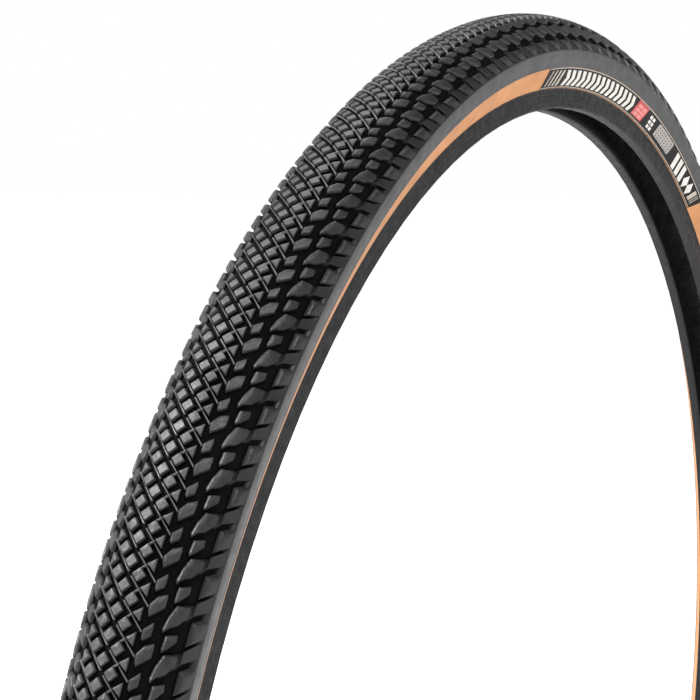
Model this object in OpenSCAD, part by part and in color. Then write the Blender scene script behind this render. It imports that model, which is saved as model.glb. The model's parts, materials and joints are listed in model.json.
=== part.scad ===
// Gravel bicycle tire for a 622 mm rim, without its rim.
// The wheel's axle lies along Y, +Z is up and the origin is the wheel's centre.
// The right side, at -Y, carries the label. All lengths are in millimetres.
//
// Places on a section through the tire are given as an angle and a radius about (section_r, 0).
// The angle is counted from the crown: 0 points straight out, and +/-180 points at the axle.

/* [Bead seat] */
// Diameter of the rim's bead seat that the tire fits
bead_seat_d = 622; // [559:1:630]
// Distance between the outer faces of the two beads
bead_spread = 21.8; // [20:0.1:24]
// Diameter of one bead's hoop
core_d = 2.6; // [2.4:0.1:3]

/* [Casing] */
// Height of the section's centre above the bead seat
section_rise = 19.4; // [18:0.1:19.6]
// Radius of the section at the outside of the sidewall, near the bead
casing_r = 16; // [15.6:0.1:16.8]
// Thickness of the airtight inner liner
liner_t = 0.3; // [0.2:0.05:0.6]
// Thickness of one fabric ply
ply_t = 0.3; // [0.25:0.05:0.5]
// Thickness of the sidewall skin and of the puncture belt
skin_t = 0.4; // [0.3:0.05:0.5]
// Half angle that the puncture belt covers
belt_half_angle = 42; // [30:1:55]

/* [Tread] */
// Radius of the section over the tops of the knobs
crown_r = 19.5; // [18:0.1:22]
// Height of the centre blocks and of the knobs
knob_h = 1.6; // [0.8:0.1:3]
// Number of times the pattern repeats around the wheel
repeats = 166; // [100:2:180]
// Half the width of a centre block, corner to corner
block_half_w = 1.95; // [1:0.05:2.5]
// Angle from +X at which the first repeat starts
pattern_start = 1.74; // [0:0.01:3]
// Distance between neighbouring columns of centre blocks
column_pitch = 3.5; // [3:0.1:5]
// Angle where the black rubber of the shoulder ends
shoulder_end = 99.3; // [96:0.1:105]
// Radius of the section at that edge
margin_r = 17.2; // [16.5:0.1:18]

/* [Label] */
// Angle from the top of the wheel to the label's start, positive towards +X
label_from = -7.4; // [-20:0.1:20]
// How far the label runs around the wheel
label_sweep = 42.4; // [30:0.1:60]
// Thickness of the label's film
film_t = 0.12; // [0.05:0.01:0.3]

/* [Hidden] */

rubber_black = [0.11, 0.11, 0.12];
tan_skin = [0.72, 0.46, 0.26];
fabric_grey = [0.62, 0.60, 0.55];
film_black = [0.05, 0.05, 0.05];
print_white = [0.90, 0.88, 0.84];
badge_red = [0.75, 0.10, 0.09];
panel_grey = [0.45, 0.46, 0.48];

bead_r = bead_seat_d / 2;
section_r = bead_r + section_rise;
inner_r = casing_r - skin_t - 2 * ply_t - liner_t;
ply_inner_r = inner_r + liner_t;
ply_outer_r = ply_inner_r + ply_t;
skin_r = ply_outer_r + ply_t;
base_top_r = crown_r - knob_h;

// The bead: its hoop, the flap of the ply that wraps it, and where the chafer and filler run out
core_inset = 2.5;
core_rise = 2.3;
flap_rise = 5;
core_r = core_d / 2;
flank_y = bead_spread / 2;
core_y = flank_y - core_inset;
core_x = bead_r + core_rise;
flap_top = bead_r + flap_rise;
flap_y = core_y + core_r + ply_t;
flank_angle = 180 - asin(flank_y / casing_r);
chafer_end = flank_angle - 3;
filler_end = flank_angle - 2.2;
filler_tip = flap_top + 0.6;

// The pattern: degrees for each millimetre around the wheel and across the tread
tread_r = section_r + crown_r;
mm_round = 360 / (2 * PI * tread_r);
mm_across = 360 / (2 * PI * crown_r);
left_shift = -2.1;
arc_step = 6;
wall_step = 3;
round_fn = 180;

// Places along the repeat of the centre column and of the columns beside it
centre_along = 3.25;
inner_along = 6.55;

// The lattice's plain edge rib, in millimetres across the tread, and how far it stops below the tops
rib_from = 5.5;
rib_to = 7.3;
rib_drop = 0.2;

// The sidewall runs straight from the margin's edge until it touches the casing's circle
touch_angle = shoulder_end + acos(casing_r / margin_r);

// The smooth margin: angle, and height above its edge as a share of the knobs' own
margin_start = 73;
margin = [[76.5, 1.0], [81, 0.8], [86, 0.55], [91, 0.3], [95, 0.12], [shoulder_end, 0.02]];
lap = 6;
base_edge = 60;

// The label's edges on the section, its border lines, and its two prints as shares of its sweep
label_high = shoulder_end + 0.5;
label_low = chafer_end;
border_gap = 0.7;
border_w = 0.7;
border_end = 0.4;
print_margin = 3;
badge = [0.49, 0.57];
panel = [0.625, 0.755];

// Points on a circle about the section's centre, from one angle to another
function arc(r, from, to) =
    let (n = max(1, ceil(abs(to - from) / arc_step)))
    [for (i = [0:n]) let (a = from + (to - from) * i / n)
        [section_r + r * cos(a), r * sin(a)]];

// Points on a circle about the bead hoop's centre
function bead_arc(r, from, to) =
    let (n = max(1, ceil(abs(to - from) / 15)))
    [for (i = [0:n]) let (a = from + (to - from) * i / n)
        [core_x + r * cos(a), core_y + r * sin(a)]];

// Points on the outside of the sidewall, or on a film raised over it
function wall_r(a) = a < touch_angle ? casing_r / cos(touch_angle - a) : casing_r;
function wall(lift, from, to) =
    let (n = max(1, ceil(abs(to - from) / wall_step)))
    [for (i = [0:n]) let (a = from + (to - from) * i / n)
        [section_r + (wall_r(a) + lift) * cos(a), (wall_r(a) + lift) * sin(a)]];

function reversed(p) = [for (i = [len(p) - 1:-1:0]) p[i]];
function mirrored(p) = [for (i = [len(p) - 1:-1:0]) [p[i][0], -p[i][1]]];

// Where a ply of radius r leaves the section's circle to pass inside the hoop at radius s
core_away = norm([section_r - core_x, core_y]);
core_bearing = 180 - atan2(core_y, section_r - core_x);
function leave_angle(r, s) = core_bearing - acos((r + s) / core_away);

// One face of the ply that wraps the bead, from the crown to the end of its flap
function wrapped_face(r, s) =
    concat(
        arc(r, 0, leave_angle(r, s)),
        bead_arc(s, leave_angle(r, s) + 180, 90),
        [[flap_top, core_y + s]]
    );

// One face of a layer that runs down to the bead and stops beside it
function plain_face(r, s, stop) =
    concat(arc(r, 0, leave_angle(r, s)), bead_arc(s, leave_angle(r, s) + 180, stop));

module around(sweep = 360, from = 0) {
    rotate([90, 0, 0])
        rotate_extrude(angle = sweep, start = from, $fn = round_fn)
            children();
}

// A band between two radii of the section, from one angle to another
module band(r_in, r_out, from, to) {
    polygon(concat(arc(r_in, from, to), arc(r_out, to, from)));
}

// side is 1 for the right-hand half at -Y and -1 for the left-hand half
module on_side(side) {
    if (side > 0)
        children();
    else
        mirror([0, 1, 0]) children();
}

// Casing -----------------------------------------------------------------

module inner_liner() {
    outer = plain_face(ply_inner_r, core_r + ply_t, 270);
    inner = concat(arc(inner_r, 0, leave_angle(inner_r, core_r + ply_t + liner_t)),
        bead_arc(core_r + ply_t + liner_t, leave_angle(inner_r, core_r + ply_t + liner_t) + 180, 270));
    color(rubber_black) around() polygon(concat(
        mirrored(outer), outer, reversed(inner), reversed(mirrored(inner))));
}

module casing_ply_inner() {
    outer = wrapped_face(ply_outer_r, core_r);
    inner = wrapped_face(ply_inner_r, core_r + ply_t);
    color(fabric_grey) around() polygon(concat(
        mirrored(outer), outer, reversed(inner), reversed(mirrored(inner))));
}

module casing_ply_outer() {
    reach = leave_angle(ply_outer_r, core_r);
    color(fabric_grey) around() band(ply_outer_r, skin_r, -reach, reach);
}

module puncture_belt() {
    color(fabric_grey) around() band(skin_r, casing_r, -belt_half_angle, belt_half_angle);
}

module bead_core(side) {
    color(fabric_grey) around() translate([core_x, side * core_y]) circle(core_r, $fn = 48);
}

// The soft wedge between the hoop, the casing and the flap of the ply
module bead_filler(side) {
    reach = leave_angle(ply_outer_r, core_r);
    color(rubber_black) on_side(side) around() polygon(concat(
        bead_arc(core_r, 90, reach - 180),
        [[section_r + ply_outer_r * cos(reach), ply_outer_r * sin(reach)]],
        arc(skin_r, reach, filler_end),
        [[filler_tip, flap_y], [flap_top, flap_y], [flap_top, core_y + core_r]]));
}

// The strip that rubs on the rim: its flat is the bead seat
module chafer(side) {
    toe_y = core_y - core_r - ply_t - liner_t;
    color(rubber_black) on_side(side) around() polygon(concat(
        [[core_x, toe_y], [core_x, toe_y - 0.4], [bead_r + 0.6, toe_y - 0.5]],
        [[bead_r, toe_y + 0.1], [bead_r, flank_y - 0.5], [bead_r + 0.7, flank_y]],
        arc(casing_r, flank_angle, chafer_end),
        arc(skin_r, chafer_end, filler_end),
        [[filler_tip, flap_y]],
        bead_arc(core_r + ply_t, 90, 270)));
}

module sidewall(side) {
    color(tan_skin) on_side(side) around() polygon(concat(
        arc(casing_r, shoulder_end - lap, shoulder_end),
        wall(0, shoulder_end, chafer_end),
        arc(skin_r, chafer_end, shoulder_end - lap)));
}

// Tread ------------------------------------------------------------------

module tread_strip() {
    color(rubber_black) around() polygon(concat(
        arc(base_top_r, -base_edge, base_edge),
        arc(skin_r, base_edge, belt_half_angle),
        arc(casing_r, belt_half_angle, -belt_half_angle),
        arc(skin_r, -belt_half_angle, -base_edge)));
}

// The smooth margin outside the side knobs, which tapers down to the sidewall
module shoulder(side) {
    color(rubber_black) on_side(side) around() polygon(concat(
        arc(skin_r, shoulder_end - lap, base_edge),
        arc(base_top_r, base_edge, margin_start),
        [for (p = margin) let (rho = margin_r + p[1] * (crown_r - margin_r))
            [section_r + rho * cos(p[0]), rho * sin(p[0])]],
        arc(casing_r, shoulder_end, shoulder_end - lap)));
}

module edge_rib(side) {
    color(rubber_black) on_side(side) around()
        band(base_top_r, crown_r - rib_drop, rib_from * mm_across, rib_to * mm_across);
}

// A flat-topped block whose outline is in millimetres: x across the tire, y around it
module block(across, along, outline, rise = knob_h) {
    phi = across * mm_across;
    rotate([0, 0, along * mm_round])
        translate([section_r, 0, 0])
            rotate([0, -phi, 0])
                translate([base_top_r, 0, 0])
                    rotate([0, 90, 0])
                        linear_extrude(rise)
                            polygon([for (p = outline) [-(p[0] - across), p[1] - along]]);
}

module all_round(copies) {
    rotate([90, 0, 0])
        for (i = [0:copies - 1])
            rotate([0, 0, pattern_start + i * 360 / copies])
                children();
}

module centre_column(across, along) {
    h = block_half_w;
    color(rubber_black) all_round(2 * repeats) block(across, along, [
        [across, along + h], [across + h, along], [across, along - h], [across - h, along]]);
}

// Knob outlines of the right-hand side; y grows the way the wheel's angle grows
large_transition = [[12.8, 3.3], [10.8, 4.4], [8.8, 6.8], [9.3, 9.9], [13.0, 6.9]];
small_transition = [[11.3, 11.4], [8.9, 13.7], [9.3, 16.4], [11.5, 14.2]];
large_middle = [[18.9, 4.9], [15.8, 6.3], [14.0, 12.6], [15.4, 11.4], [19.4, 8.2]];
small_middle = [[18.2, 12.8], [15.2, 14.0], [14.9, 18.1], [18.4, 14.6]];
side_knob = [[25.2, 6.3], [21.5, 8.6], [21.4, 15.0], [25.2, 11.6]];

function middle_of(p, k) = (max([for (q = p) q[k]]) + min([for (q = p) q[k]])) / 2;

module knob(outline, rise = knob_h) {
    block(middle_of(outline, 0), middle_of(outline, 1), outline, rise);
}

module knob_row(side, outlines, rise = knob_h) {
    shift = side > 0 ? 0 : left_shift * mm_round;
    color(rubber_black) on_side(side)
        rotate([0, -shift, 0])
            all_round(repeats)
                for (o = outlines)
                    knob(o, rise);
}

// Label ------------------------------------------------------------------

// A film over the sidewall between two shares of the label's sweep and two angles of the section
module patch(from, to, high, low, lift = 0) {
    around(sweep = (to - from) * label_sweep, from = 90 - label_from - to * label_sweep)
        polygon(concat(wall(lift, high, low), wall(lift + film_t, low, high)));
}

module label_film() {
    color(film_black) patch(0, 1, label_high, label_low);
}

module label_border() {
    end = border_end / label_sweep;
    color(print_white) {
        patch(end, 1 - end, label_high + border_gap, label_high + border_gap + border_w, film_t);
        patch(end, 1 - end, label_low - border_gap - border_w, label_low - border_gap, film_t);
    }
}

module label_print(tone, span) {
    color(tone)
        patch(span[0], span[1], label_high + print_margin, label_low - print_margin, film_t);
}

inner_liner();
casing_ply_inner();
casing_ply_outer();
puncture_belt();
bead_core(-1);  // bead_core_left
bead_core(1);  // bead_core_right
bead_filler(-1);  // bead_filler_left
bead_filler(1);  // bead_filler_right
chafer(-1);  // chafer_left
chafer(1);  // chafer_right
sidewall(-1);  // sidewall_left
sidewall(1);  // sidewall_right
tread_strip();
shoulder(-1);  // shoulder_left
shoulder(1);  // shoulder_right
edge_rib(-1);  // edge_rib_left
edge_rib(1);  // edge_rib_right
centre_column(0, centre_along);  // centre_blocks
centre_column(-column_pitch, inner_along);  // inner_blocks_left
centre_column(column_pitch, inner_along);  // inner_blocks_right
knob_row(-1, [large_transition, small_transition]);  // transition_knobs_left
knob_row(1, [large_transition, small_transition]);  // transition_knobs_right
knob_row(-1, [large_middle, small_middle]);  // middle_knobs_left
knob_row(1, [large_middle, small_middle]);  // middle_knobs_right
knob_row(-1, [side_knob]);  // side_knobs_left
knob_row(1, [side_knob]);  // side_knobs_right
label_film();
label_border();
label_print(badge_red, badge);  // label_badge
label_print(panel_grey, panel);  // label_panel
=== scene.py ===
"""Gravel bicycle tire: the looks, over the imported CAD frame.

The tread is built as rubber blocks on a round base. A place on the tire is given the way a tire
maker draws it: `across` is the arc length from the crown towards the right side (-Y), `along` is
the arc length around the wheel, and `rho` is the distance from the middle of the tire's section.
Those three are in millimetres; Blender's own units are metres.
"""

import json
import math

import bpy
import numpy as np
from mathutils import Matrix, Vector


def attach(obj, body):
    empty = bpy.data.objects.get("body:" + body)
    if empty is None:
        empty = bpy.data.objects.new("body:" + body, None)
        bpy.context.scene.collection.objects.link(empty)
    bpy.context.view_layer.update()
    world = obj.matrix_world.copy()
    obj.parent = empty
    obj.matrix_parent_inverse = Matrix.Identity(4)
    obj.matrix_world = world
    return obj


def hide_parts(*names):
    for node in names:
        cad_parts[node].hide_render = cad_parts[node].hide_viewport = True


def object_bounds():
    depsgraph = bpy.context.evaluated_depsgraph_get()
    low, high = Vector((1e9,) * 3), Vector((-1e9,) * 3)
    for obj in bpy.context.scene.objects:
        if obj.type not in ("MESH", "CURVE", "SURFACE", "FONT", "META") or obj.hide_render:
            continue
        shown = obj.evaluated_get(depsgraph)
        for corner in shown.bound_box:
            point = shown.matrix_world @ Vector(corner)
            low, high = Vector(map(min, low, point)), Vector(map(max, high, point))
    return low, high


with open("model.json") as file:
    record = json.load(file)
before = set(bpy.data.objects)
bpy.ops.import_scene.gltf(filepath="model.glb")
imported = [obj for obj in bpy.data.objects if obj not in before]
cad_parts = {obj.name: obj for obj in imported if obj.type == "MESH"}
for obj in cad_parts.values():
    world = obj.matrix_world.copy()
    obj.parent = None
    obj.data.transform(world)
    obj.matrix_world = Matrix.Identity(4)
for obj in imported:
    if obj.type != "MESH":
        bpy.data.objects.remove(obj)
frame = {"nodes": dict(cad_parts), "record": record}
cad_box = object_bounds()

# Sizes, in millimetres and degrees ------------------------------------------------------------

BEAD_R = next(mount["dims"]["r_mm"] for mount in frame["record"]["mounts"]
              if mount["name"] == "bead_seat")
SECTION_RISE = 19.4           # from the bead seat to the section's middle
SECTION_R = BEAD_R + SECTION_RISE
SKIN_R = 15.6                 # under the sidewall skin
CASING_R = 16.0               # outside of the sidewall near the bead
MARGIN_R = 17.2               # outside of the sidewall at the black margin's edge
CROWN_R = 19.5                # over the tops of the knobs
KNOB_H = 1.6
BASE_R = CROWN_R - KNOB_H     # the floor between the knobs
TREAD_R = SECTION_R + CROWN_R
REPEATS = 166                 # of the knobs; the lattice repeats twice as often
PATTERN_START = 1.74          # degrees from +X to the first repeat
LEFT_SHIFT = -2.1             # the left half's knobs trail the right half's by this
FLOOR_EDGE = 72.8             # where the tread's floor meets the shoulder
SHOULDER_END = 99.3           # where the black rubber gives way to the tan skin
FLANK_Y = 10.9                # half the distance over the beads
CHAFER_LAP = 3                # the skin stops this far short of the flank
CHAFER_END = 180 - math.degrees(math.asin(FLANK_Y / CASING_R)) - CHAFER_LAP
TOUCH = SHOULDER_END + math.degrees(math.acos(CASING_R / MARGIN_R))
STEPS_ROUND = 664             # of each smooth ring


def place(across, along, rho):
    """Metres in the row frame, for a place on the tread."""
    phi = across / CROWN_R
    theta = math.radians(PATTERN_START) + along / TREAD_R
    r = SECTION_R + rho * np.cos(phi)
    xyz = np.broadcast_arrays(r * np.cos(theta), -rho * np.sin(phi), r * np.sin(theta))
    return np.stack(xyz, -1) / 1000


# Meshes ---------------------------------------------------------------------------------------

def add_piece(name, shape, material, node=(), sharp=40):
    """A piece from (points, faces), with its colour slot and the CAD nodes it stands for.

    Edges that turn more than sharp degrees stay crisp.
    """
    points, faces = shape
    mesh = bpy.data.meshes.new(name)
    mesh.from_pydata([tuple(p) for p in points], [], faces)
    mesh.update()
    mesh.polygons.foreach_set("use_smooth", [True] * len(mesh.polygons))
    mesh.set_sharp_from_angle(angle=math.radians(sharp))
    piece = bpy.data.objects.new(name, mesh)
    bpy.context.scene.collection.objects.link(piece)
    piece.data.materials.append(material)
    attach(piece, "root")
    if node:
        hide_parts(*node)


def twice_area(outline):
    """Twice the area inside an outline, above 0 when it runs anticlockwise."""
    x, y = np.array(outline, float).T
    return np.sum(x * np.roll(y, -1) - np.roll(x, -1) * y)


def revolve(profile):
    """A closed ring from a closed section profile of (r, y) points, in millimetres."""
    n = len(profile)
    turn = np.arange(STEPS_ROUND) * 2 * math.pi / STEPS_ROUND
    r, y = np.array(profile).T
    points = np.stack([np.outer(np.cos(turn), r), np.tile(y, (STEPS_ROUND, 1)),
                       np.outer(np.sin(turn), r)], -1).reshape(-1, 3) / 1000
    faces = []
    for i in range(STEPS_ROUND):
        j = (i + 1) % STEPS_ROUND
        for k in range(n):
            m = (k + 1) % n
            faces.append((i * n + k, i * n + m, j * n + m, j * n + k))
    return points, faces if twice_area(profile) > 0 else [f[::-1] for f in faces]


def on_section(angle, rho):
    """(r, y) on the section; angles in degrees, 0 at the crown and + to the right side."""
    turn = math.radians(angle)
    return SECTION_R + rho * math.cos(turn), -rho * math.sin(turn)


def arc(rho, start, end, step=2.0):
    n = math.ceil(abs(end - start) / step)
    return [on_section(angle, rho) for angle in np.linspace(start, end, n + 1)]


def curve(knots, step=1.5):
    """Section points along a smooth curve through (angle, rho) knots."""
    a, rho = np.array(knots, float).T
    n = math.ceil((a[-1] - a[0]) / step)
    at = np.linspace(a[0], a[-1], n + 1)
    slope = np.gradient(rho, a)
    k = np.clip(np.searchsorted(a, at, side="right") - 1, 0, len(a) - 2)
    w = a[k + 1] - a[k]
    u = (at - a[k]) / w
    value = ((1 + 2 * u) * (1 - u) ** 2 * rho[k] + u * (1 - u) ** 2 * w * slope[k]
             + u * u * (3 - 2 * u) * rho[k + 1] + u * u * (u - 1) * w * slope[k + 1])
    return [on_section(angle, v) for angle, v in zip(at, value)]


def wall_r(angle):
    """The sidewall runs straight from the margin's edge until it touches the casing's circle."""
    return CASING_R / math.cos(math.radians(TOUCH - angle)) if angle < TOUCH else CASING_R


def wall(start, end, step=1.0):
    n = math.ceil(abs(end - start) / step)
    return [on_section(angle, wall_r(angle)) for angle in np.linspace(start, end, n + 1)]


# Blocks ---------------------------------------------------------------------------------------

SINK = 0.12                   # how far a block's foot goes under the floor
FILLET_W, FILLET_H = 0.25, 0.22   # the fillet where a block's wall meets the floor
BEVEL_LEAST = 0.1             # how far even a narrow bevel goes down
BEVEL_DEPTH = 0.7             # how much further for each millimetre of its width
EASE_IN, EASE_DOWN = 0.9, 0.07    # where a bevel eases into the top, as parts of the bevel
CORNER_SHARE = 0.45           # the most of an edge that a rounded corner may take

# Inwards and against the wheel's turn: the edges that face this way have the wide bevel.
BEVEL_WAY = np.array([-0.8, -0.6])


def shifted(outline, inset):
    """The outline with its edges moved in, by one inset or by one for each edge."""
    p = np.array(outline, float)
    nxt = np.roll(p, -1, 0)
    way = (nxt - p) / np.linalg.norm(nxt - p, axis=1)[:, None]
    inward = np.stack([-way[:, 1], way[:, 0]], 1)
    start = p + inward * np.broadcast_to(inset, len(p))[:, None]
    out = []
    for i in range(len(p)):
        h = i - 1
        cross = way[h, 0] * way[i, 1] - way[h, 1] * way[i, 0]
        if abs(cross) < 1e-6:         # the two edges are in line
            out.append(start[i])
            continue
        gap = start[i] - start[h]
        out.append(start[h] + way[h] * (gap[0] * way[i, 1] - gap[1] * way[i, 0]) / cross)
    return np.array(out)


def rounded(corners, radius, steps=3):
    """The outline with each corner turned into a short curve."""
    out = []
    n = len(corners)
    for i in range(n):
        a, b, c = corners[i - 1], corners[i], corners[(i + 1) % n]
        back, on = np.linalg.norm(a - b), np.linalg.norm(c - b)
        p = b + (a - b) * (min(radius, CORNER_SHARE * back) / back)
        q = b + (c - b) * (min(radius, CORNER_SHARE * on) / on)
        out += [(1 - u) ** 2 * p + 2 * u * (1 - u) * b + u * u * q
                for u in np.linspace(0, 1, steps + 1)]
    return np.array(out)


def block(outline, top=CROWN_R, bevel=0.18, wide=0.2, radius=0.2, draft=0.22, climb=0.0):
    """One moulded block as rings of (across, along, rho), from its foot to its top.

    wide is the bevel on the edges that face BEVEL_WAY, and bevel is the one on the others.
    draft is how far the walls spread towards the floor. climb raises the top towards its outer
    side, in millimetres for each millimetre across.
    """
    if twice_area(outline) < 0:
        outline = outline[::-1]
    p = np.array(outline, float)
    way = np.roll(p, -1, 0) - p
    outward = np.stack([way[:, 1], -way[:, 0]], 1) / np.linalg.norm(way, axis=1)[:, None]
    cut = bevel + (wide - bevel) * np.clip(outward @ BEVEL_WAY, 0, 1)
    drop = BEVEL_LEAST + BEVEL_DEPTH * cut.max()
    rings = [(shifted(outline, -draft - FILLET_W), BASE_R - SINK, 0),
             (shifted(outline, -draft), min(BASE_R + FILLET_H, top - drop), 0),
             (shifted(outline, 0), top - drop, climb),
             (shifted(outline, cut * EASE_IN), top - drop * EASE_DOWN, climb),
             (shifted(outline, cut), top, climb)]
    out = []
    for corners, rho, rise in rings:
        ring = rounded(corners, radius)
        height = rho + rise * (ring[:, 0] - p[:, 0].min())
        out.append(np.column_stack([ring, height]))
    return np.stack(out)


def repeated(blocks, copies, side=1, shift=0.0):
    """Points and faces of blocks repeated around the wheel, on the right (1) or the left (-1)."""
    points, faces, base = [], [], 0
    along = np.arange(copies) * 2 * math.pi * TREAD_R / copies + shift
    for rings in blocks:
        k, n, _ = rings.shape
        crown = rings[-1].mean(0)
        local = np.vstack([rings.reshape(-1, 3), crown])
        world = place(side * local[None, :, 0], local[None, :, 1] + along[:, None],
                      local[None, :, 2])
        points.append(world.reshape(-1, 3))
        own = []
        for i in range(k - 1):
            for j in range(n):
                m = (j + 1) % n
                own.append((i * n + j, i * n + m, (i + 1) * n + m, (i + 1) * n + j))
        for j in range(n):
            own.append(((k - 1) * n + j, (k - 1) * n + (j + 1) % n, k * n))
        own.append(tuple(reversed(range(n))))
        if side > 0:
            own = [f[::-1] for f in own]
        size = len(local)
        for c in range(copies):
            faces += [tuple(v + base + c * size for v in f) for f in own]
        base += copies * size
    return np.concatenate(points), faces


def bar(a, b, width):
    """A straight bar's outline between two places."""
    a, b = np.array(a, float), np.array(b, float)
    way = (b - a) / np.linalg.norm(b - a)
    side = np.array([-way[1], way[0]]) * width / 2
    return [tuple(a - side), tuple(b - side), tuple(b + side), tuple(a + side)]


# Materials ------------------------------------------------------------------------------------

# Painted shade: the black colour and the dim reflection that stand in for the shade deep in the
# grooves between the blocks.
PAINTED_GROOVE_SHADE = (0.003, 0.003, 0.003)
PAINTED_SHADE_SHINE = 0.05


def new_material(name):
    material = bpy.data.materials.new(name)
    material.use_nodes = True
    return material, material.node_tree, material.node_tree.nodes["Principled BSDF"]


def grey(value):
    return (value, value, value)


def noise(tree, scale, detail):
    node = tree.nodes.new("ShaderNodeTexNoise")
    node.inputs["Scale"].default_value = scale
    node.inputs["Detail"].default_value = detail
    coordinates = tree.nodes.new("ShaderNodeTexCoord")
    tree.links.new(coordinates.outputs["Object"], node.inputs["Vector"])
    return node.outputs["Fac"]


def ramp(tree, source, stops):
    """A value turned into colours, by stops of (value, colour)."""
    node = tree.nodes.new("ShaderNodeValToRGB")
    elements = node.color_ramp.elements
    while len(elements) < len(stops):
        elements.new(0.5)
    for element, (at, colour) in zip(elements, stops):
        element.position = at
        element.color = (*colour, 1)
    tree.links.new(source, node.inputs["Fac"])
    return node.outputs["Color"]


def roughen(tree, shader, source, low, high):
    """Roughness that follows a noise between two values."""
    tree.links.new(ramp(tree, source, [(0.3, grey(low)), (0.7, grey(high))]),
                   shader.inputs["Roughness"])


def bump(tree, height, strength, distance, normal=None):
    node = tree.nodes.new("ShaderNodeBump")
    node.inputs["Strength"].default_value = strength
    node.inputs["Distance"].default_value = distance
    tree.links.new(height, node.inputs["Height"])
    if normal is not None:
        tree.links.new(normal, node.inputs["Normal"])
    return node.outputs["Normal"]


def maths(tree, operation, a, b=None):
    """One sum, on sockets or plain numbers."""
    node = tree.nodes.new("ShaderNodeMath")
    node.operation = operation
    for socket, value in zip(node.inputs, (a, b)):
        if isinstance(value, (int, float)):
            socket.default_value = value
        elif value is not None:
            tree.links.new(value, socket)
    return node.outputs[0]


def section_coordinates(tree):
    """The length around the wheel, the length across, and the section radius, in metres."""
    def length(a, b):
        return maths(tree, "SQRT", maths(tree, "ADD", maths(tree, "MULTIPLY", a, a),
                                         maths(tree, "MULTIPLY", b, b)))

    coordinates = tree.nodes.new("ShaderNodeTexCoord")
    split = tree.nodes.new("ShaderNodeSeparateXYZ")
    tree.links.new(coordinates.outputs["Object"], split.inputs[0])
    x, y, z = split.outputs
    around = maths(tree, "MULTIPLY", maths(tree, "ARCTAN2", z, x), SECTION_R / 1000)
    out = maths(tree, "SUBTRACT", length(x, z), SECTION_R / 1000)
    across = maths(tree, "MULTIPLY", maths(tree, "ARCTAN2", y, out), CASING_R / 1000)
    return around, across, length(out, y)


def rubber(name, dark, light, rough=(0.42, 0.62), grain=0.25, groove=None, shine=0.5):
    """Moulded rubber: a faint bloom and a fine grain, and painted shade low in the grooves.

    The groove radii, when given, are the pair of section radii between which a painted black
    shade and a dimmed reflection give way to the rubber's colour and shine.
    """
    material, tree, shader = new_material(name)
    colour = ramp(tree, noise(tree, 60, 6), [(0.3, dark), (0.75, light)])
    roughen(tree, shader, noise(tree, 240, 5), *rough)
    # Painted shade: towards the floor, the colour fades to black and the reflection dims.
    if groove:
        low, high = groove
        _, _, rho = section_coordinates(tree)
        height = maths(tree, "MULTIPLY", maths(tree, "SUBTRACT", rho, low / 1000),
                       1000 / (high - low))
        mix = tree.nodes.new("ShaderNodeMix")
        mix.data_type = "RGBA"
        tree.links.new(ramp(tree, height, [(0.3, grey(0)), (1.0, grey(1))]),
                       mix.inputs["Factor"])
        mix.inputs["A"].default_value = (*PAINTED_GROOVE_SHADE, 1)
        tree.links.new(colour, mix.inputs["B"])
        colour = mix.outputs["Result"]
        tree.links.new(ramp(tree, height, [(0.3, grey(PAINTED_SHADE_SHINE)), (1.0, grey(shine))]),
                       shader.inputs["Specular IOR Level"])
    else:
        shader.inputs["Specular IOR Level"].default_value = shine
    tree.links.new(colour, shader.inputs["Base Color"])
    normal = bump(tree, noise(tree, 700, 4), grain, 0.0004)
    tree.links.new(bump(tree, noise(tree, 3500, 3), grain, 0.00012, normal),
                   shader.inputs["Normal"])
    return material


def threads(tree, around, across, pitch, lean):
    """Ridges from 0 to 1 along parallel threads, at a pitch in metres and a lean in degrees."""
    turn = math.radians(lean)
    slant = maths(tree, "ADD", maths(tree, "MULTIPLY", around, math.cos(turn)),
                  maths(tree, "MULTIPLY", across, math.sin(turn)))
    wave = maths(tree, "SINE", maths(tree, "MULTIPLY", slant, 2 * math.pi / pitch))
    return maths(tree, "ADD", maths(tree, "MULTIPLY", wave, 0.5), 0.5)


def tan_skin():
    """Tan rubber skimmed thinly over fine bias threads."""
    material, tree, shader = new_material("tan_skin")
    around, across, _ = section_coordinates(tree)
    weave = maths(tree, "MAXIMUM", threads(tree, around, across, 0.00045, 45),
                  threads(tree, around, across, 0.00045, -45))
    cloud = noise(tree, 90, 6)
    fleck = noise(tree, 900, 4)
    tone = maths(tree, "ADD", maths(tree, "MULTIPLY", cloud, 0.6),
                 maths(tree, "MULTIPLY", fleck, 0.4))
    colour = ramp(tree, tone, [(0.30, (0.44, 0.175, 0.052)), (0.55, (0.60, 0.255, 0.085)),
                               (0.75, (0.70, 0.330, 0.130))])
    tree.links.new(colour, shader.inputs["Base Color"])
    roughen(tree, shader, fleck, 0.42, 0.62)
    tree.links.new(bump(tree, fleck, 0.2, 0.0002, bump(tree, weave, 0.35, 0.00008)),
                   shader.inputs["Normal"])
    shader.inputs["Specular IOR Level"].default_value = 0.45
    return material


def woven_rubber():
    """The chafer: black rubber pressed into a square weave."""
    material, tree, shader = new_material("chafer_weave")
    around, across, _ = section_coordinates(tree)
    weave = maths(tree, "MULTIPLY", threads(tree, around, across, 0.0009, 0),
                  threads(tree, around, across, 0.0009, 90))
    colour = ramp(tree, weave, [(0.0, (0.010, 0.010, 0.011)), (1.0, (0.022, 0.022, 0.024))])
    tree.links.new(colour, shader.inputs["Base Color"])
    roughen(tree, shader, noise(tree, 400, 4), 0.5, 0.72)
    tree.links.new(bump(tree, weave, 0.4, 0.00012), shader.inputs["Normal"])
    shader.inputs["Specular IOR Level"].default_value = 0.25
    return material


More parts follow.
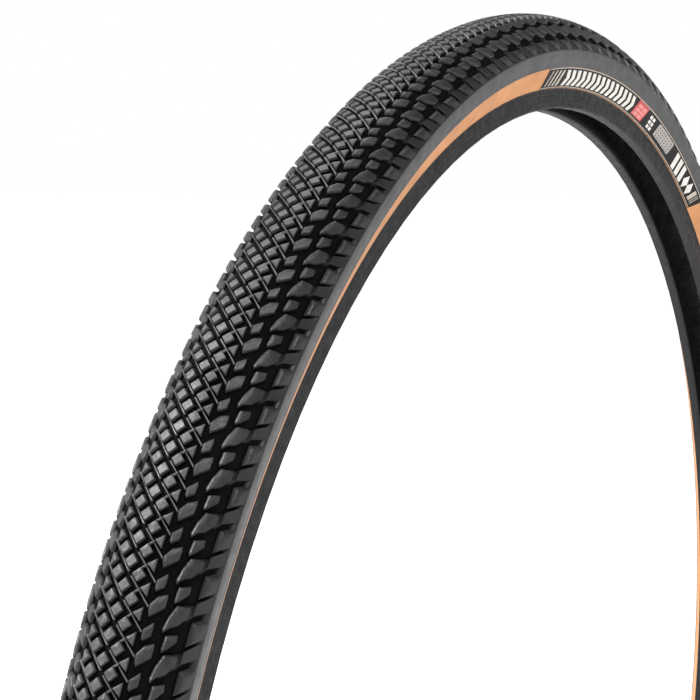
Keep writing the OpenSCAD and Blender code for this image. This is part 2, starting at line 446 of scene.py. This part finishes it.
def liner_rubber():
    """Smooth butyl with the crossing lines that the curing bladder leaves."""
    material, tree, shader = new_material("liner_butyl")
    around, across, _ = section_coordinates(tree)
    crossing = maths(tree, "MAXIMUM", threads(tree, around, across, 0.006, 30),
                     threads(tree, around, across, 0.006, -30))
    lines = maths(tree, "POWER", crossing, 12)
    mottle = noise(tree, 150, 5)
    colour = ramp(tree, mottle, [(0.3, (0.012, 0.012, 0.013)), (0.75, (0.034, 0.034, 0.036))])
    tree.links.new(colour, shader.inputs["Base Color"])
    roughen(tree, shader, mottle, 0.32, 0.5)
    tree.links.new(bump(tree, lines, 0.5, 0.0003), shader.inputs["Normal"])
    return material


def ink(name, dark, light, rough=0.45, shine=0.5):
    """Printed film: flat ink with a faint mottle and the skin's texture showing through."""
    material, tree, shader = new_material(name)
    mottle = noise(tree, 500, 5)
    tree.links.new(ramp(tree, mottle, [(0.3, dark), (0.7, light)]), shader.inputs["Base Color"])
    roughen(tree, shader, mottle, rough - 0.06, rough + 0.08)
    tree.links.new(bump(tree, mottle, 0.15, 0.0002), shader.inputs["Normal"])
    shader.inputs["Specular IOR Level"].default_value = shine
    return material


def cord_fabric(name, dark, light, pitch, lean):
    """Rubberised fabric or a twisted hoop: threads along one direction."""
    material, tree, shader = new_material(name)
    around, across, _ = section_coordinates(tree)
    weave = threads(tree, around, across, pitch, lean)
    tree.links.new(ramp(tree, weave, [(0.1, dark), (0.9, light)]), shader.inputs["Base Color"])
    roughen(tree, shader, noise(tree, 400, 4), 0.6, 0.8)
    tree.links.new(bump(tree, weave, 0.5, 0.0002), shader.inputs["Normal"])
    return material


# The groove radii below paint shade on the blocks' lower walls, black towards the floor.
TREAD = rubber("tread_rubber", (0.036, 0.036, 0.037), (0.078, 0.078, 0.080), (0.34, 0.52), 0.6,
               groove=(BASE_R + 0.1, CROWN_R - 0.5))
# Painted shade: the knobs are a darker copy of the tread rubber, for knob faces turned away from
# the key lamp.
KNOB_PAINTED_SHADE = rubber("knob_painted_shade", (0.022, 0.022, 0.023), (0.046, 0.046, 0.047), (0.32, 0.48),
                     0.4, groove=(BASE_R + 0.1, CROWN_R - 0.6), shine=0.45)
# Painted highlight: the ribs are a lighter copy of the tread rubber, standing in for the glints
# along them.
RIB_PAINTED_HIGHLIGHT = rubber("rib_painted_highlight", (0.090, 0.090, 0.093), (0.160, 0.160, 0.165), (0.3, 0.45),
                    groove=(BASE_R + 0.3, CROWN_R - 0.6))
# Painted shade: the floor between the blocks is near black with a dim reflection, standing in for
# the shade down there.
GROOVE_FLOOR_SHADE = rubber("groove_floor_painted_shade", PAINTED_GROOVE_SHADE, (0.007, 0.007, 0.007), (0.7, 0.9),
                      shine=0.06)
RAMP_RUBBER = rubber("ramp_rubber", (0.016, 0.016, 0.017), (0.030, 0.030, 0.032), (0.36, 0.5),
                     0.1, groove=(BASE_R + 0.1, CROWN_R - 0.8))
# Painted shade: the side knobs are a darker copy of the tread rubber, for tops turned away from
# the key lamp.
SIDE_KNOB_PAINTED_SHADE = rubber("side_knob_painted_shade", (0.024, 0.024, 0.025), (0.048, 0.048, 0.049),
                     (0.3, 0.46), 0.35, groove=(BASE_R + 0.1, CROWN_R - 0.8), shine=0.45)
SMOOTH = rubber("shoulder_rubber", (0.016, 0.016, 0.017), (0.030, 0.030, 0.032), (0.36, 0.5),
                0.1)
TAN = tan_skin()
CHAFER = woven_rubber()
LINER = liner_rubber()

# Round layers ---------------------------------------------------------------------------------

def ring_pair(name, profile, material, node):
    """The same ring on the right side and, mirrored, on the left."""
    mirrored = [(r, -y) for r, y in profile]
    for side, outline in (("right", profile), ("left", mirrored)):
        add_piece(f"{name}_{side}", revolve(outline), material, [f"{node}_{side}"])


strip = arc(BASE_R, -FLOOR_EDGE, FLOOR_EDGE) + arc(SKIN_R, FLOOR_EDGE, -FLOOR_EDGE)
add_piece("tread_base", revolve(strip), GROOVE_FLOOR_SHADE, ["tread_strip"])

# The shoulder swells beside the side knobs, then thins out to a step over the tan skin.
shoulder_outside = curve([(FLOOR_EDGE, BASE_R), (75, 19.0), (77.5, 19.48), (81, 19.1),
                          (86, 18.5), (91, 17.92), (95, 17.52), (SHOULDER_END, 17.3)])
ring_pair("shoulder_margin", shoulder_outside + arc(SKIN_R, SHOULDER_END, FLOOR_EDGE), SMOOTH,
          "shoulder")
ring_pair("tan_sidewall", wall(SHOULDER_END, CHAFER_END) + arc(SKIN_R, CHAFER_END, SHOULDER_END),
          TAN, "sidewall")

# Tread ----------------------------------------------------------------------------------------

# The lattice: three columns of diamonds, and half a diamond at each side.
HALF = 2.0                    # from a diamond's middle to its corners
COLUMN = 3.5                  # from the centre column to the next
CENTRE_ALONG, INNER_ALONG = 3.25, 6.55    # where each column's first diamond lies
HALF_DIAMOND = [(7.4, 1.4), (7.4, 5.2), (4.95, 3.3)]
CRISP = {"bevel": 0.1, "wide": 0.2, "radius": 0.15, "draft": 0.12}


def diamond(across, along):
    return [(across, along - HALF), (across + HALF, along),
            (across, along + HALF), (across - HALF, along)]


add_piece("centre_column", repeated([block(diamond(0, CENTRE_ALONG), **CRISP)], 2 * REPEATS),
          TREAD, ["centre_blocks"])
for name, side in (("right", 1), ("left", -1)):
    inner = block(diamond(COLUMN, INNER_ALONG), **CRISP)
    add_piece("inner_column_" + name, repeated([inner], 2 * REPEATS, side), TREAD,
              ["inner_blocks_" + name])
    edge = block(HALF_DIAMOND, **CRISP)
    add_piece("edge_triangles_" + name, repeated([edge], 2 * REPEATS, side), TREAD,
              ["edge_rib_" + name])

# Thin ribs run across the lattice in every second groove, broken once beside the centre.
RIB_SLOPE = 0.96
RIB_START = -0.62             # where along the wheel a rib crosses the crown
RIB_END = 8.6                 # how far across it reaches
RIB_W = 0.42
RIB = {"top": CROWN_R - 0.2, "bevel": 0.12, "wide": 0.12, "radius": 0.1, "draft": 0.12}


def rib(start, end):
    """A piece of the rib between two places across."""
    return block(bar(*[(across, RIB_START + RIB_SLOPE * across) for across in (start, end)],
                     RIB_W), **RIB)


# The right side also has a short rib that leans the other way.
short_rib = block(bar((4.9, 3.6), (3.6, 4.7), RIB_W), **RIB)
for name, blocks in (("right", [rib(1.35, RIB_END), short_rib]), ("left", [rib(-RIB_END, 0.1)])):
    add_piece("lattice_ribs_" + name, repeated(blocks, 2 * REPEATS), RIB_PAINTED_HIGHLIGHT)

# One repeat of the right half's knobs, outlined in (across, along).
LARGE_TRANSITION = [(12.9, 3.2), (10.4, 4.5), (8.75, 6.9), (8.85, 8.6), (9.4, 10.0),
                    (13.0, 7.0), (13.1, 4.3)]
SMALL_TRANSITION = [(11.3, 11.3), (8.85, 13.6), (8.95, 15.9), (9.4, 16.4), (11.4, 14.9),
                    (11.55, 12.4)]
LARGE_MIDDLE = [(19.4, 4.7), (16.0, 5.5), (14.6, 8.8), (13.9, 12.3), (14.2, 13.1), (15.5, 11.6),
                (17.6, 10.5), (19.9, 7.7), (19.9, 5.3)]
SMALL_MIDDLE = [(18.3, 12.7), (15.2, 13.9), (14.95, 17.6), (15.2, 18.2), (16.6, 17.0),
                (18.5, 14.8)]
SIDE_KNOB = [(26.2, 6.0), (21.8, 8.6), (21.7, 15.0), (26.2, 11.9)]
RAMP = [(26.2, -0.5), (21.5, 3.3), (21.2, 6.9), (26.2, 4.2)]
BRIDGE = [(21.8, 3.6), (19.2, 4.2), (18.6, 8.6), (20.4, 8.6), (21.8, 6.9)]

# Each row as its name, its blocks, their rubber and the CAD row they stand for.
ROWS = [
    ("transition_row", [block(LARGE_TRANSITION, wide=0.45), block(SMALL_TRANSITION, wide=0.4)],
     KNOB_PAINTED_SHADE, "transition_knobs"),
    ("middle_row", [block(LARGE_MIDDLE, wide=0.45), block(SMALL_MIDDLE, wide=0.4),
                    block(BRIDGE, CROWN_R - 1.0, bevel=0.3, wide=0.3)],
     KNOB_PAINTED_SHADE, "middle_knobs"),
    ("side_row", [block(SIDE_KNOB, bevel=0.1, wide=1.2)], SIDE_KNOB_PAINTED_SHADE, "side_knobs"),
    ("side_ramps", [block(RAMP, CROWN_R - 0.75, bevel=0.1, wide=0.1, climb=0.12)],
     RAMP_RUBBER, None),
]
for name, side, shift in (("right", 1, 0.0), ("left", -1, LEFT_SHIFT)):
    for row, blocks, material, node in ROWS:
        add_piece(f"{row}_{name}", repeated(blocks, REPEATS, side, shift), material,
                  [f"{node}_{name}"] if node else ())

# Label ----------------------------------------------------------------------------------------

# A place on the label: `run` is the length around the wheel from its left end, `low` is the
# length down the sidewall from the margin's edge. Both are in millimetres.
LABEL_START = 97.4            # degrees from +X to the label's left end
LABEL_R = 323.0               # the radius at which a run is measured
LABEL_RUN = 239.0
FILM_T = 0.12
FILM_LOW = 9.7
FILM_SLANT = 6.5              # how much shorter the film is at its foot
INK_T = 0.07
CELL_T = 0.05                 # of the marks printed over the badge and the panel
WALL_FOOT = 140               # degrees, below the label

wall_line = np.array(wall(SHOULDER_END, WALL_FOOT, step=0.25))
wall_length = np.concatenate([[0], np.cumsum(np.linalg.norm(np.diff(wall_line, axis=0), axis=1))])
wall_way = np.gradient(wall_line, axis=0)
wall_out = np.stack([-wall_way[:, 1], wall_way[:, 0]], 1)
wall_out /= np.linalg.norm(wall_out, axis=1)[:, None]


def on_label(run, low, lift):
    """Metres in the row frame, for a place at some lift over the sidewall."""
    r, y = [np.interp(low, wall_length, wall_line[:, k])
            + lift * np.interp(low, wall_length, wall_out[:, k]) for k in (0, 1)]
    theta = math.radians(LABEL_START) - run / LABEL_R
    return (r * math.cos(theta) / 1000, y / 1000, r * math.sin(theta) / 1000)


def slab(rows, lift, thick, points, faces, step=2.5):
    """Adds a closed slab over the label's surface, from rows of (low, run from, run to)."""
    n = math.ceil(max(b - a for _, a, b in rows) / step) + 1
    k, base = len(rows), len(points)
    for height in (lift, lift + thick):
        for low, a, b in rows:
            points += [on_label(run, low, height) for run in np.linspace(a, b, n)]

    def at(layer, row, column):
        return base + (layer * k + row) * n + column

    for row in range(k - 1):
        for column in range(n - 1):
            for layer in (0, 1):
                quad = (at(layer, row, column), at(layer, row, column + 1),
                        at(layer, row + 1, column + 1), at(layer, row + 1, column))
                faces.append(quad if layer == 0 else quad[::-1])
    rim = ([(0, c) for c in range(n)] + [(r, n - 1) for r in range(1, k)]
           + [(k - 1, c) for c in range(n - 2, -1, -1)] + [(r, 0) for r in range(k - 2, 0, -1)])
    for (r0, c0), (r1, c1) in zip(rim, rim[1:] + rim[:1]):
        faces.append((at(0, r0, c0), at(1, r0, c0), at(1, r1, c1), at(0, r1, c1)))


def lean_box(run, width, top, bottom, lean=0.0, step=0.8):
    """Rows of a four-sided mark; lean moves its foot along the run."""
    lows = np.linspace(top, bottom, max(2, math.ceil((bottom - top) / step) + 1))
    return [(low, run + lean * (low - top) / (bottom - top),
             run + width + lean * (low - top) / (bottom - top)) for low in lows]


def round_box(run, width, top, bottom, radius, steps=14):
    """Rows of a box with round corners."""
    rows = []
    for low in np.linspace(top, bottom, steps + 1):
        past = max(0.0, radius - min(low - top, bottom - low))
        inset = radius - math.sqrt(max(0.0, radius ** 2 - past ** 2))
        rows.append((low, run + inset, run + width - inset))
    return rows


def lozenge(run, width, top, bottom, tip=0.15, steps=12):
    """Rows of a lozenge; tip is half the width of its blunt ends."""
    middle = run + width / 2
    halves = [(u, max(tip, width / 2 * (1 - abs(2 * u - 1))))
              for u in np.linspace(0, 1, steps + 1)]
    return [(top + (bottom - top) * u, middle - half, middle + half) for u, half in halves]


def grid(columns, rows, pitch, run, width, top, bottom, lean=0.0, slip=0.0):
    """Equal marks at a (run, low) pitch; slip moves each row along the run."""
    return [lean_box(run + pitch[0] * column + slip * row, width, top + pitch[1] * row,
                     bottom + pitch[1] * row, lean)
            for column in range(columns) for row in range(rows)]


def label_piece(name, shapes, lift, thick, material, node=()):
    points, faces = [], []
    for rows in shapes:
        slab(rows, lift, thick, points, faces)
    add_piece(name, (points, faces), material, node, sharp=30)


film = [(low, 0.0, LABEL_RUN - FILM_SLANT * low / FILM_LOW)
        for low in np.linspace(0.1, FILM_LOW, 12)]
lines = [[(low, 0.3, LABEL_RUN - 0.5) for low in (0.15, 0.5)],
         [(low, 0.3, LABEL_RUN - FILM_SLANT - 0.5) for low in (FILM_LOW - 0.6, FILM_LOW - 0.3)]]

# Plain marks fill the places that the real label gives to its print.
MARK_TOP, MARK_LOW = 1.3, 8.5
MARK_MID = (MARK_TOP + MARK_LOW) / 2
CHEVRONS, CHEVRON_PITCH, CHEVRON_W, CHEVRON_JUT = 15, 6.2, 3.6, 2.4
chevrons = []
for run in 21.5 + CHEVRON_PITCH * np.arange(CHEVRONS):
    chevrons += [lean_box(run, CHEVRON_W, MARK_TOP, MARK_MID, CHEVRON_JUT),
                 lean_box(run + CHEVRON_JUT, CHEVRON_W, MARK_MID, MARK_LOW, -CHEVRON_JUT)]
hatch = [lean_box(4.8 + 4.0 * k, 1.0 + 0.35 * k, MARK_TOP, MARK_LOW, -1.6) for k in range(4)]
hatch_end = [lean_box(run, width, 1.5, 7.9, -3.0)
             for run, width in ((226.5, 3.4), (231.2, 0.6), (233.0, 0.6))]
emblem = ([lean_box(186.5 + 6.9 * k, 4.6, 1.2, 8.6, 2.6) for k in range(3)]
          + [lozenge(208.6 + 7.4 * k, 7.0, 1.2, 8.6) for k in range(2)])
squares = grid(2, 3, (3.9, 2.2), 138.6, 2.9, 1.8, 3.4, lean=0.2, slip=0.6)
badge = lean_box(118.0, 15.0, 0.6, 8.3, -1.5)
cells = grid(2, 3, (6.2, 2.1), 120.0, 5.4, 2.0, 3.7, lean=-0.4, slip=-0.7)
panel = round_box(152.0, 26.0, 1.1, 7.5, 1.0)
dots = grid(7, 4, (3.4, 1.5), 154.0, 1.7, 2.0, 2.7)

FILM = ink("film_black", (0.004, 0.004, 0.004), (0.009, 0.008, 0.008), 0.5, 0.12)
PRINT = ink("print_white", (0.62, 0.58, 0.52), (0.80, 0.77, 0.72))
LINE = ink("print_sand", (0.42, 0.36, 0.29), (0.55, 0.48, 0.40))
RED = ink("print_red", (0.40, 0.018, 0.020), (0.60, 0.035, 0.035))
PINK = ink("print_pink", (0.62, 0.16, 0.15), (0.78, 0.26, 0.24))
GREY = ink("print_grey", (0.30, 0.27, 0.25), (0.42, 0.38, 0.35))
DOT = ink("print_dark", (0.09, 0.08, 0.08), (0.14, 0.13, 0.12))
over_ink = FILM_T + INK_T
label_piece("label_base", [film], 0.0, FILM_T, FILM, ["label_film"])
label_piece("label_lines", lines, FILM_T, INK_T, LINE, ["label_border"])
label_piece("label_marks", chevrons + emblem + squares, FILM_T, INK_T, PRINT)
label_piece("label_hatch", hatch + hatch_end, FILM_T, INK_T, LINE)
label_piece("label_red_badge", [badge], FILM_T, INK_T, RED, ["label_badge"])
label_piece("label_badge_cells", cells, over_ink, CELL_T, PINK)
label_piece("label_grey_panel", [panel], FILM_T, INK_T, GREY, ["label_panel"])
label_piece("label_panel_dots", dots, over_ink, CELL_T, DOT)

# Carried-over nodes ---------------------------------------------------------------------------

PLY_CORD = ((0.30, 0.24, 0.16), (0.55, 0.47, 0.35), 0.0005)
HOOP = cord_fabric("bead_twist", (0.45, 0.33, 0.10), (0.80, 0.66, 0.30), 0.0012, 60)
CAD_LOOKS = {
    "inner_liner": LINER,
    "chafer_left": CHAFER,
    "chafer_right": CHAFER,
    "casing_ply_inner": cord_fabric("ply_inner", *PLY_CORD, 45),
    "casing_ply_outer": cord_fabric("ply_outer", *PLY_CORD, -45),
    "puncture_belt": cord_fabric("belt_weave", (0.35, 0.30, 0.12), (0.66, 0.58, 0.30),
                                 0.0008, 20),
    "bead_core_left": HOOP,
    "bead_core_right": HOOP,
    "bead_filler_left": LINER,
    "bead_filler_right": LINER,
}
for node, material in CAD_LOOKS.items():
    target = frame["nodes"][node]
    target.data.materials.clear()
    target.data.materials.append(material)

# Stage ----------------------------------------------------------------------------------------

FLOOR_HALF = 40.0             # metres, far past the picture's edges
FLOOR_GAP = 0.0005
FLOOR_GLOW = 0.93             # lifts the floor to the white of the studio

stage_pale, _, shader = new_material("floor_pale")
shader.inputs["Base Color"].default_value = (0.8, 0.8, 0.81, 1)
shader.inputs["Roughness"].default_value = 0.9
shader.inputs["Emission Color"].default_value = (1, 1, 1, 1)
shader.inputs["Emission Strength"].default_value = FLOOR_GLOW

floor_z = cad_box[0][2] - FLOOR_GAP
floor_mesh = bpy.data.meshes.new("floor")
floor_mesh.from_pydata([(FLOOR_HALF * x, FLOOR_HALF * y, floor_z)
                        for x, y in ((-1, -1), (1, -1), (1, 1), (-1, 1))], [], [(0, 1, 2, 3)])
floor = bpy.data.objects.new("floor", floor_mesh)
floor.data.materials.append(stage_pale)
bpy.context.scene.collection.objects.link(floor)


def area_light(name, at, towards, size, power):
    """A square lamp, its places and size in metres and its power in watts."""
    light = bpy.data.lights.new(name, "AREA")
    light.size = size
    light.energy = power
    lamp = bpy.data.objects.new(name, light)
    lamp.location = at
    lamp.rotation_euler = (Vector(towards) - Vector(at)).to_track_quat("-Z", "Y").to_euler()
    bpy.context.scene.collection.objects.link(lamp)


area_light("key_left", (-1.1, 1.4, 1.8), (-0.25, 0, 0.1), 0.9, 80)
area_light("key_top", (0.5, 0.7, 2.2), (-0.1, 0, 0.2), 1.2, 16)
area_light("fill_over", (-0.8, -0.8, 2.2), (-0.2, 0, 0.1), 0.8, 22)

# The studio is white low down, where it meets the floor, and dark overhead. Heights are those
# of the way looked along, from 0 at level to 1 straight up.
WHITE_TO, DARK_FROM = 0.19, 0.33
DARK = 0.08
world = bpy.data.worlds.new("studio")
world.use_nodes = True
tree = world.node_tree
way = tree.nodes.new("ShaderNodeTexCoord")
split = tree.nodes.new("ShaderNodeSeparateXYZ")
tree.links.new(way.outputs["Generated"], split.inputs[0])
tree.links.new(ramp(tree, split.outputs["Z"],
                    [(0.0, grey(1)), (WHITE_TO, grey(1)), (DARK_FROM, grey(DARK))]),
               tree.nodes["Background"].inputs["Color"])
bpy.context.scene.world = world
bpy.context.scene.view_settings.view_transform = "Standard"

# Camera ---------------------------------------------------------------------------------------

# The photo's angle: close in on the tread from the label's side, looking slightly down.
CAMERA_AT = (-0.6018, -0.2314, 0.2827)    # metres
CAMERA_DIP = 6.81             # degrees below level
CAMERA_TURN = -61.35          # degrees from +Y, about Z
LENS, SENSOR = 75.3, 36       # millimetres

camera = bpy.data.objects.new("camera", bpy.data.cameras.new("camera"))
camera.location = CAMERA_AT
camera.rotation_euler = (math.radians(90 - CAMERA_DIP), 0, math.radians(CAMERA_TURN))
camera.data.sensor_width = SENSOR
camera.data.lens = LENS
camera.data.clip_start = 0.01
bpy.context.scene.collection.objects.link(camera)
bpy.context.scene.camera = camera
